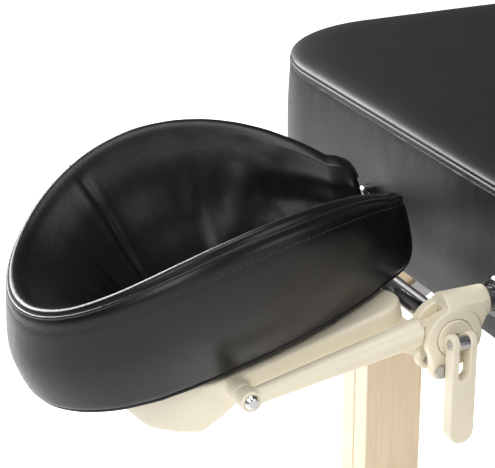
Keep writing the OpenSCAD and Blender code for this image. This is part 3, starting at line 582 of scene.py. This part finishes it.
def pad_half(half):
    """Vinyl cover of one half, closed round its foam, with hem, skirt, double seam and crown."""
    flip = -1 if half == "head" else 1
    spots = hardware(half)
    seed = 5.0 if half == "head" else 11.0
    points, count = [], None
    # each ring: inset, hinge inset, z, z at the hinge line where it differs, puff share, wave share
    rings = []

    # inner skin, from the middle of the top down to the hem
    for inset in (360, 250, 140):
        rings.append((inset, inset, SEAM_Z + 9.0, None, 0, 0))
    for angle in (90, 60, 35, 15):
        i, h, z = crown(angle, 1.25)
        rings.append((i, h, z, None, 0, 0))
    rings += [(1.3, 1.2, SEAM_Z - 2, None, 0, 0), (1.3, 1.2, SKIRT_Z + 70, None, 0.0, 0),
              (1.35, 1.2, SKIRT_Z + 2, SKIRT_Z + 2.2, 0, 0),
              (3, 1.2, SKIRT_Z + 1.35, SKIRT_Z + 1.9, 0, 0), (15.4, 1.0, SKIRT_Z + 1.3, SKIRT_Z + 1.7, 0, 0)]
    # outer skin
    rings += [(15.6, 0.8, SKIRT_Z + 0.7, SKIRT_Z + 1.5, 0, 0),
              (14.8, 0.5, SKIRT_Z + 0.2, SKIRT_Z + 1.5, 0, 0),
              (8, 0.2, SKIRT_Z + 0.1, SKIRT_Z + 1.8, 0, 0),
              (3.4, 0.1, SKIRT_Z + 0.15, SKIRT_Z + 2.2, 0, 0),
              (1.5, 0.0, SKIRT_Z + 0.7, SKIRT_Z + 2.6, 0, 0),
              (0.45, 0.0, SKIRT_Z + 1.7, SKIRT_Z + 3.2, 0.2, 0),
              (0.0, 0.0, SKIRT_Z + 3.2, SKIRT_Z + 4.4, 0.7, 0)]
    for k in range(1, 17):
        rings.append((0.0, 0.0, SKIRT_Z + 3.2 + (SEAM_Z - 6.6 - SKIRT_Z - 3.2) * k / 16, None, 1, 0))
    # the seam's raised band between two sewn grooves, as inset and height from the seam
    seam = [(0.15, -5.8), (0.75, -5.2), (1.0, -4.7), (0.7, -4.2), (0.0, -3.6), (-0.45, -2.9),
            (-0.6, -2.0), (-0.5, -1.1), (0.0, -0.4), (0.75, 0.1), (1.05, 0.6), (0.8, 1.1)]
    for inset, dz in seam:
        rings.append((inset, max(0.15, min(inset, 0.6)), SEAM_Z + dz, None, 0.4 if dz < -5.5 else 0.0, 0))
    for angle in (4, 9, 14, 19, 25, 31, 37, 44, 51, 58, 66, 74, 82, 90):
        i, h, z = crown(angle)
        rings.append((i, h, z, None, 0, min(1, angle / 60)))
    for inset in (62, 78, 98, 122, 150, 182, 218, 256, 296, 336, 366):
        lift = 0.4 + 0.9 * min(1, (inset - CROWN_RUN) / 220)
        rings.append((inset, inset - CROWN_RUN + HINGE_CROWN_RUN, TOP_Z + lift, None, 0, 1))

    for inset, hinge_inset, z, hinge_z, puff, wave in rings:
        rows = plan_ring(inset, hinge_inset, hinge_r=4.0 if inset < 40 else 10.0)
        count = len(rows)
        for x, y, nx, ny, w in rows:
            zz = z if hinge_z is None else z * (1 - w) + hinge_z * w
            if puff:
                d = puff * skirt_puff(x, y, zz, w, spots, seed)
                x, y = x + nx * d, y + ny * d
            if wave:
                zz += wave * top_waves(x, y, seed)
            points.append((HINGE_X + flip * x, y, zz))
    pad = from_data(half + "_pad_vinyl", points, ring_faces(len(rings), count, flip), VINYL)
    cut_bores(pad, half)
    stands_for(pad, half + "_cover")

    # two stitched rows, one on each side of the seam's raised band
    lines = []
    for inset, dz in ((0.62, -4.75), (0.68, 0.55)):
        rows = plan_ring(inset, 1.0)
        lines.append([(HINGE_X + flip * x, y, SEAM_Z + dz) for x, y, nx, ny, w in rows if w == 0])
    goes_with(stitches(half + "_pad_stitches", [line[4:] for line in lines], THREAD), half + "_cover")


def cut_bores(pad, half):
    """Opens the cover where the cradle sockets go through it."""
    end = HINGE_X + (HALF_L if half == "foot" else -HALF_L)
    for side in (-1, 1):
        bpy.ops.mesh.primitive_cylinder_add(vertices=48, radius=(BARREL_R + 0.5) * MM, depth=30 * MM,
                                            location=(end * MM, side * SOCKET_Y * MM, SOCKET_Z * MM),
                                            rotation=(0, math.pi / 2, 0))
        cutter = bpy.context.object
        cut = pad.modifiers.new("bore", "BOOLEAN")
        cut.operation = "DIFFERENCE"
        cut.solver = "EXACT"
        cut.object = cutter
        apply_modifiers(pad)
        bpy.data.objects.remove(cutter)


def foam_half(half):
    """Foam under the cover: straight sides and the same crown."""
    flip = -1 if half == "head" else 1
    z0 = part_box(half + "_foam")[0].z / MM
    rings = [(1.8, 1.8, z0 + 0.1), (1.6, 1.6, z0 + 2), (1.6, 1.6, SEAM_Z - 6)]
    outline = [crown(a) for a in (0, 12, 25, 40, 60, 90)]
    rings += [(i + FOAM_UNDER, h + FOAM_UNDER, z - 1.6) for i, h, z in outline]
    rings += [(140, 120, SEAM_Z + 8.4), (250, 230, SEAM_Z + 8.4), (360, 340, SEAM_Z + 8.4)]
    points, count = [], None
    for inset, hinge_inset, z in rings:
        rows = plan_ring(inset, hinge_inset)
        count = len(rows)
        points += [(HINGE_X + flip * row[0], row[1], z) for row in rows]
    foam = from_data(half + "_foam_core", points, ring_faces(len(rings), count, flip), FOAM)
    stands_for(foam, half + "_foam")


# ---------------------------------------------------------------- face cushion

TILT = math.radians(14)
CUSHION_AT = (HEAD_END - 210, SKIRT_Z + 17.8)
SIDE_RUN, FRONT_U, MID_A, MID_B, TIP_PULL = 140, 5, 105, 70, 34
FRONT_RIM, FRONT_BASE, FRONT_HOLE, BASE_W = 56, 60, 30, 22
TIP_SHRINK, TIP_STAND = 0.45, 0.6
SIDE_H, FRONT_H, RIM_B = 128, 86, 134


def blend(a, b, k):
    return a + (b - a) * k


def side_share(t):
    return math.sin(math.pi * t) ** 2 if t < 0.5 else 1.0


def tail(t):
    return max(0.0, (t - 0.5) * 2)


def cushion_path(t):
    """Middle of the cushion at t, from 0 at the front to 1 at a tip."""
    if t < 0.5:
        return FRONT_U - MID_A * math.cos(math.pi * t), MID_B * math.sin(math.pi * t)
    return FRONT_U + SIDE_RUN * tail(t), MID_B - TIP_PULL * tail(t) ** 2


def cushion_out(t):
    if t < 0.5:
        v = (-MID_B * math.cos(math.pi * t), MID_A * math.sin(math.pi * t))
    else:
        v = (2 * TIP_PULL * tail(t) / SIDE_RUN, 1.0)
    n = math.hypot(*v)
    return v[0] / n, v[1] / n


def cushion_height(t):
    return blend(FRONT_H, SIDE_H, side_share(t)) * (1 - TIP_SHRINK * tail(t) ** 2)


def cushion_section(t):
    """Corners of a section as [outward, up]: bottom edge, wall, rim, inner wall and edge of the hole."""
    k, h = side_share(t), cushion_height(t)
    rim = blend(FRONT_RIM, (RIM_B - MID_B) * (1 - TIP_STAND * tail(t) ** 2), k)
    a = (blend(FRONT_BASE, BASE_W, k), 0.0)
    b = (blend(FRONT_BASE + 4, blend(BASE_W + 2, rim, 0.62), k), 0.45 * h)
    c = (rim, 0.88 * h)
    d = (rim - 7, h)
    e = (rim - 21, 0.9 * h)
    f = (blend(14 - FRONT_HOLE, blend(4 - BASE_W, rim, 0.40), k), 0.45 * h)
    g = (blend(-FRONT_HOLE, -BASE_W, k), 0.0)
    return a, b, c, d, e, f, g


def smooth_line(points, steps):
    """Open curve through points, with steps to each span."""
    p = [np.array(q, float) for q in points]
    p = [2 * p[0] - p[1]] + p + [2 * p[-1] - p[-2]]
    out = []
    for i in range(1, len(p) - 2):
        p0, p1, p2, p3 = p[i - 1:i + 3]
        for s in range(steps):
            t = s / steps
            square, cube = 2 * p0 - 5 * p1 + 4 * p2 - p3, 3 * p1 - p0 - 3 * p2 + p3
            out.append(0.5 * ((2 * p1) + (p2 - p0) * t + square * t * t + cube * t ** 3))
    out.append(p[-2])
    return out


OUTER_N, RIM_N, INNER_N, BASE_N = 26, 8, 30, 8
CUSHION_STEPS = 120   # sections on each side of the front
PANEL_SEAM = 0.375    # where the front panel is sewn to a side panel
GROOVE_AT = 0.90      # share of the outer wall, from the bottom edge to the rim, where the stitched row lies


def section_line(t):
    """Points of a closed section: outer wall up, rim over, inner wall down, base back."""
    a, b, c, d, e, f, g = cushion_section(t)
    h = cushion_height(t)
    wall = smooth_line([(a[0] - 2, 1.5), (a[0] + 3.2, 7.0), (b[0] + 3.0, b[1]), (c[0] + 1.5, c[1] - 3),
                        (c[0] - 2.2, 0.955 * h)], 12)
    wall = even(wall, OUTER_N)
    over = smooth_line([wall[-1], (d[0] + 1.5, h + 0.5), (d[0] - 4.0, h - 0.6), (e[0] + 3.0, e[1] + 3.0)], 8)
    over = even(over, RIM_N)
    inner = smooth_line([over[-1], (blend(e[0], f[0], 0.45) - 3.5, blend(e[1], f[1], 0.45) + 3),
                         (f[0] - 3.0, f[1]), (blend(f[0], g[0], 0.6) - 3.0, 0.17 * h),
                         (g[0] + 1.0, 4.5), (g[0] + 6, 0.6)], 10)
    inner = even(inner, INNER_N)
    under = [np.array([(a[0] + g[0]) / 2, 0.4]), np.array([a[0] - 7, 0.4])]
    base = even([inner[-1], *under, wall[0]], BASE_N)
    return wall[:-1] + over[:-1] + inner[:-1] + base[:-1]


def even(points, n):
    """The line through points as n equal steps."""
    p = np.array([tuple(q) for q in points], float)
    run = np.concatenate([[0], np.cumsum(np.linalg.norm(np.diff(p, axis=0), axis=1))])
    at = np.linspace(0, run[-1], n + 1)
    return [np.array([np.interp(x, run, p[:, 0]), np.interp(x, run, p[:, 1])]) for x in at]


def to_world(u, y, w):
    c, s = math.cos(TILT), math.sin(TILT)
    return CUSHION_AT[0] + u * c - w * s, y, CUSHION_AT[1] + u * s + w * c


def hill(x, centre, width):
    return math.exp(-((x - centre) / width) ** 2)


def crease_depth(t, side, j):
    """Inward (-) or outward (+) move of the cushion's skin at place j of the section, in millimetres."""
    outer_end, inner_start = OUTER_N, OUTER_N + RIM_N
    inner_end = inner_start + INNER_N
    d = 0.0
    if j < outer_end:
        s = j / outer_end
        d += 0.7 * noise.noise(Vector((t * 7, side * 3.0, s * 2.2))) * math.sin(math.pi * s)
        d += 0.5 * noise.noise(Vector((t * 24, side * 5.0, s * 1.1))) * (1 - s) ** 2
        d -= 1.1 * hill(s, GROOVE_AT, 0.022)
        d -= 0.9 * hill(s, 0.985, 0.02)
    elif j < inner_start:
        s = (j - outer_end) / RIM_N
        d -= 1.2 * hill(s, 0.0, 0.10)
        d += 0.3 * noise.noise(Vector((t * 16, side * 3.0, 9.0)))
    elif j < inner_end:
        s = (j - inner_start) / INNER_N
        fade = math.sin(math.pi * min(1, s * 1.05)) ** 0.7
        # where the front panel is joined to a side panel
        d -= 2.6 * hill(t, PANEL_SEAM, 0.006) * (0.45 + 0.55 * s)
        d += 0.8 * (hill(t, PANEL_SEAM - 0.016, 0.010) + hill(t, PANEL_SEAM + 0.016, 0.010)) * fade
        # gathers that run up from the hole
        low = s ** 1.6
        d += low * fade * 2.0 * (noise.noise(Vector((t * 17, side * 4.0 + 0.5, s * 1.3))))
        d += low * 0.5 * noise.noise(Vector((t * 43, side * 6.0, s * 2.0))) * fade
        # the foam swells low on the wall
        d += 2.4 * hill(s, 0.70, 0.15)
        # soft folds of the side panels
        if t > 0.45:
            d -= 1.7 * hill(t + 0.10 * s, 0.66, 0.030) * fade * (0.4 + 0.6 * s)
            d -= 1.6 * hill(t - 0.05 * s, 0.80, 0.035) * fade
            d += 2.6 * hill(t + 0.25 * s, 0.86, 0.05) * fade
        # a fold in the front panel beside the hole
        d += 2.2 * hill(t, 0.305 + 0.03 * s, 0.022) * low * fade
        d -= 2.0 * hill(t, 0.262 + 0.03 * s, 0.018) * low * fade
        d += 1.0 * noise.noise(Vector((t * 6, side * 2.0, s * 2.5))) * fade
    return d


def cushion_ring(t, side, shrink=1.0, step=0.0):
    c, n = cushion_path(t), cushion_out(t)
    f = (n[1], -n[0])
    line = section_line(t)
    m = len(line)
    centre = ((line[0][0] + line[OUTER_N + RIM_N + INNER_N - 2][0]) / 2 + 6, cushion_height(t) * 0.42)
    out = []
    for j, q in enumerate(line):
        a, b = line[(j - 1) % m], line[(j + 1) % m]
        tangent = np.array([b[0] - a[0], b[1] - a[1]])
        size = np.linalg.norm(tangent)
        normal = np.array([tangent[1], -tangent[0]]) / (size if size > 1e-6 else 1)
        o, w = q + normal * crease_depth(t, side, j) * shrink
        w = max(w, 0.35)
        o, w = centre[0] + (o - centre[0]) * shrink, centre[1] + (w - centre[1]) * shrink
        out.append(to_world(c[0] + n[0] * o + f[0] * step, side * (c[1] + n[1] * o + f[1] * step), w))
    return out


def face_cushion():
    steps = CUSHION_STEPS
    caps = [(0.985, 4.0), (0.95, 8.5), (0.89, 13.0), (0.80, 17.0), (0.66, 20.0), (0.45, 22.0), (0.2, 23.0)]
    keys = [(1.0, -1, k, d) for k, d in reversed(caps)]
    keys += [(i / steps, -1, 1.0, 0.0) for i in range(steps, 0, -1)] + [(0.0, 1, 1.0, 0.0)]
    keys += [(i / steps, 1, 1.0, 0.0) for i in range(1, steps + 1)]
    keys += [(1.0, 1, k, d) for k, d in caps]
    rings = [cushion_ring(*key) for key in keys]
    m = len(rings[0])
    points = [p for r in rings for p in r]
    faces = []
    for i in range(len(rings) - 1):
        for j in range(m):
            k = (j + 1) % m
            faces.append((i * m + j, i * m + k, (i + 1) * m + k, (i + 1) * m + j))
    last = (len(rings) - 1) * m
    faces.append(tuple(reversed(range(m))))
    faces.append(tuple(last + j for j in range(m)))
    cushion = from_data("face_cushion_vinyl", points, faces, CUSHION_VINYL)
    bm = bmesh.new()
    bm.from_mesh(cushion.data)
    bmesh.ops.recalc_face_normals(bm, faces=bm.faces)
    bm.to_mesh(cushion.data)
    bm.free()
    smooth = cushion.modifiers.new("round", "SUBSURF")
    smooth.levels = smooth.render_levels = 1
    apply_modifiers(cushion)
    cushion.data.shade_smooth()
    stands_for(cushion, "face_cushion")

    def along(j, lift, skip=3):  # skip: rings left out at each tip
        """Line on the skin at place j of every section, lifted off it, in millimetres."""
        line = []
        for r in rings[skip:len(rings) - skip]:
            p = Vector(r[j])
            inside = sum((Vector(q) for q in r), Vector()) / m
            line.append(p + (p - inside).normalized() * lift)
        return line

    rim = OUTER_N
    groove = round(GROOVE_AT * OUTER_N)
    goes_with(tube("face_cushion_rim_piping", along(rim, 0.2, 1), 1.7, PIPING), "face_cushion")
    goes_with(tube("face_cushion_base_piping", along(0, 0.4, 1), 1.8, PIPING), "face_cushion")
    sewn = stitches("face_cushion_stitches", [along(groove, 0.15)], THREAD, 5.0, 3.5, 0.45)
    goes_with(sewn, "face_cushion")
    inner_start = OUTER_N + RIM_N
    for side, tag in ((-1, "right"), (1, "left")):
        i = next(n for n, key in enumerate(keys) if key[1] == side and abs(key[0] - PANEL_SEAM) < 1e-6)
        inside = sum((Vector(q) for q in rings[i]), Vector()) / m
        line = []
        for j in range(OUTER_N + 1, inner_start + INNER_N - 3):
            p = Vector(rings[i][j])
            line.append(p + (p - inside).normalized() * 0.1)
        goes_with(stitches("face_cushion_panel_seam_" + tag, [line], THREAD, 4.6, 3.2, 0.42), "face_cushion")


# ---------------------------------------------------------------- build the pieces

for half_name in ("head", "foot"):
    pad_half(half_name)
    foam_half(half_name)
face_cushion()

LEG_X = {"head": mid("head_foot_left", 0), "foot": mid("foot_foot_left", 0)}
for half_name, leg_x in LEG_X.items():
    def board_edge(m, leg_x=leg_x):
        return abs(m.x - leg_x) > 10 or m.z > 610 or m.z < 140

    def sliding_edge(m, leg_x=leg_x):
        return abs(m.x - leg_x) > 10 or m.z > 450 or m.z < 16

    eased(half_name + "_upper_legs", 2.2, WOOD_Z, board_edge)
    for hand in ("left", "right"):
        eased(f"{half_name}_extension_{hand}", 2.2, WOOD_Z, sliding_edge)
        eased(f"{half_name}_foot_{hand}", 1.5, RUBBER)
        eased(f"{half_name}_knob_{hand}", 1.1, BLACK_GLOSS, segments=2)
    eased(half_name + "_leg_crossbar", 2.0, WOOD_Y)
    eased(half_name + "_straight_rails", 1.0, WOOD_X)
    eased(half_name + "_end_rail", 0.8, WOOD_Y)
    eased(half_name + "_deck", 0.5, PLY)
    eased(half_name + "_sockets", 0.5, BLACK_GLOSS, segments=2)
    eased(half_name + "_hinge_leaves", 0.35, ZINC, segments=2)
    eased(half_name + "_leg_mounts", 0.5, ZINC, segments=2)
    eased(half_name + "_lower_braces", 0.7, ZINC, segments=2)
    eased(half_name + "_upper_braces", 0.7, ZINC, segments=2)
    eased(half_name + "_handle", 1.2, GRIP, segments=3)
    eased(half_name + "_handle_brackets", 0.5, BLACK_GLOSS, segments=2)
for node, width, finish in (
        ("hinge_links", 0.4, ZINC), ("hinge_pins", 0.3, STEEL), ("latch_bases", 0.4, ZINC),
        ("latch_lever_inner", 0.6, STEEL), ("latch_lever_outer", 0.6, STEEL), ("latch_strikes", 0.4, ZINC),
        ("cradle_rods", 0.6, STEEL), ("cross_tube", 0.3, POLISHED), ("tie_rod", 0.5, STEEL),
        ("cam_washer", 0.8, CREAM_PLASTIC), ("lever_pin", 0.4, STEEL), ("stop_bolts", 0.5, STEEL),
        ("arm_pins", 1.2, POLISHED), ("hook_strip", 0.6, HOOK)):
    eased(node, width, finish, segments=3 if width > 0.6 else 2)
cast("hub_brackets", 0.9, CREAM, 7)
cast("tilt_arms", 0.9, CREAM, 7)
cast("cam_lever", 0.7, CREAM_PLASTIC, 6)
cast("platform", 1.6, CREAM_PLASTIC, 24)

# ---------------------------------------------------------------- floor, light and camera

FLOOR = Finish("pale_floor")
seen = FLOOR.add("ShaderNodeLightPath")
mottle = FLOOR.ramp(FLOOR.noise(1.3, 3), (0.3, 0.90), (0.7, 0.93))
FLOOR.set(colour=mottle, rough=0.85)
FLOOR.shader.inputs["Emission Color"].default_value = (1, 1, 1, 1)
indirect = FLOOR.maths("MAXIMUM", seen.outputs["Is Glossy Ray"], seen.outputs["Is Transmission Ray"])
mirrored = FLOOR.maths("MULTIPLY", indirect, 0.25)
rays = FLOOR.maths("MAXIMUM", seen.outputs["Is Camera Ray"], mirrored)
FLOOR.link(FLOOR.maths("MULTIPLY", rays, 0.62), FLOOR.shader.inputs["Emission Strength"])
floor_mesh = bpy.data.meshes.new("floor")
bm = bmesh.new()
bmesh.ops.create_grid(bm, x_segments=8, y_segments=8, size=14)
bm.to_mesh(floor_mesh)
bm.free()
floor = new_object("floor", floor_mesh, FLOOR.material)

world = bpy.data.worlds.new("studio")
bpy.context.scene.world = world
world.use_nodes = True
tree = world.node_tree
tree.nodes.clear()
w_out = tree.nodes.new("ShaderNodeOutputWorld")
w_path = tree.nodes.new("ShaderNodeLightPath")
w_any = tree.nodes.new("ShaderNodeMath")
w_any.operation = "MAXIMUM"
w_back = tree.nodes.new("ShaderNodeBackground")
w_back.inputs["Color"].default_value = (1, 1, 1, 1)
w_amount = tree.nodes.new("ShaderNodeMapRange")
w_amount.inputs["To Min"].default_value = 0.16
w_amount.inputs["To Max"].default_value = 1.0
tree.links.new(w_path.outputs["Is Camera Ray"], w_any.inputs[0])
tree.links.new(w_path.outputs["Is Transmission Ray"], w_any.inputs[1])
tree.links.new(w_any.outputs[0], w_amount.inputs["Value"])
tree.links.new(w_amount.outputs["Result"], w_back.inputs["Strength"])
tree.links.new(w_back.outputs[0], w_out.inputs["Surface"])


def area_light(name, place, aim, size, power):
    light = bpy.data.lights.new(name, "AREA")
    light.shape = "RECTANGLE"
    light.size, light.size_y = size
    light.energy = power
    o = bpy.data.objects.new(name, light)
    bpy.context.scene.collection.objects.link(o)
    o.location = place
    o.rotation_euler = (Vector(aim) - Vector(place)).to_track_quat("-Z", "Y").to_euler()
    return o


area_light("key", (-3.2, -1.8, 2.4), (-0.7, 0.0, 0.6), (1.5, 1.5), 40)
area_light("back", (-1.66, 2.6, 2.1), (-0.7, 0.1, 0.65), (2.0, 1.2), 165)
area_light("top", (-1.2, -0.6, 3.2), (-0.6, 0.0, 0.6), (1.6, 1.2), 34)
area_light("fill", (0.9, -3.4, 1.6), (-0.6, 0.0, 0.5), (2.2, 1.6), 36)
area_light("low_fill", (-2.2, -2.8, 0.9), (-0.8, 0.0, 0.5), (1.2, 1.0), 5)

scene = bpy.context.scene
scene.view_settings.view_transform = "Standard"
camera_data = bpy.data.cameras.new("camera")
camera_data.sensor_width = 36
camera_data.lens = 134.72
camera_data.clip_end = 50
camera = bpy.data.objects.new("camera", camera_data)
scene.collection.objects.link(camera)
camera.location = (-1.50445, -1.28368, 1.22402)
camera.rotation_euler = (math.radians(67.946), 0, math.radians(-24.667))
scene.camera = camera
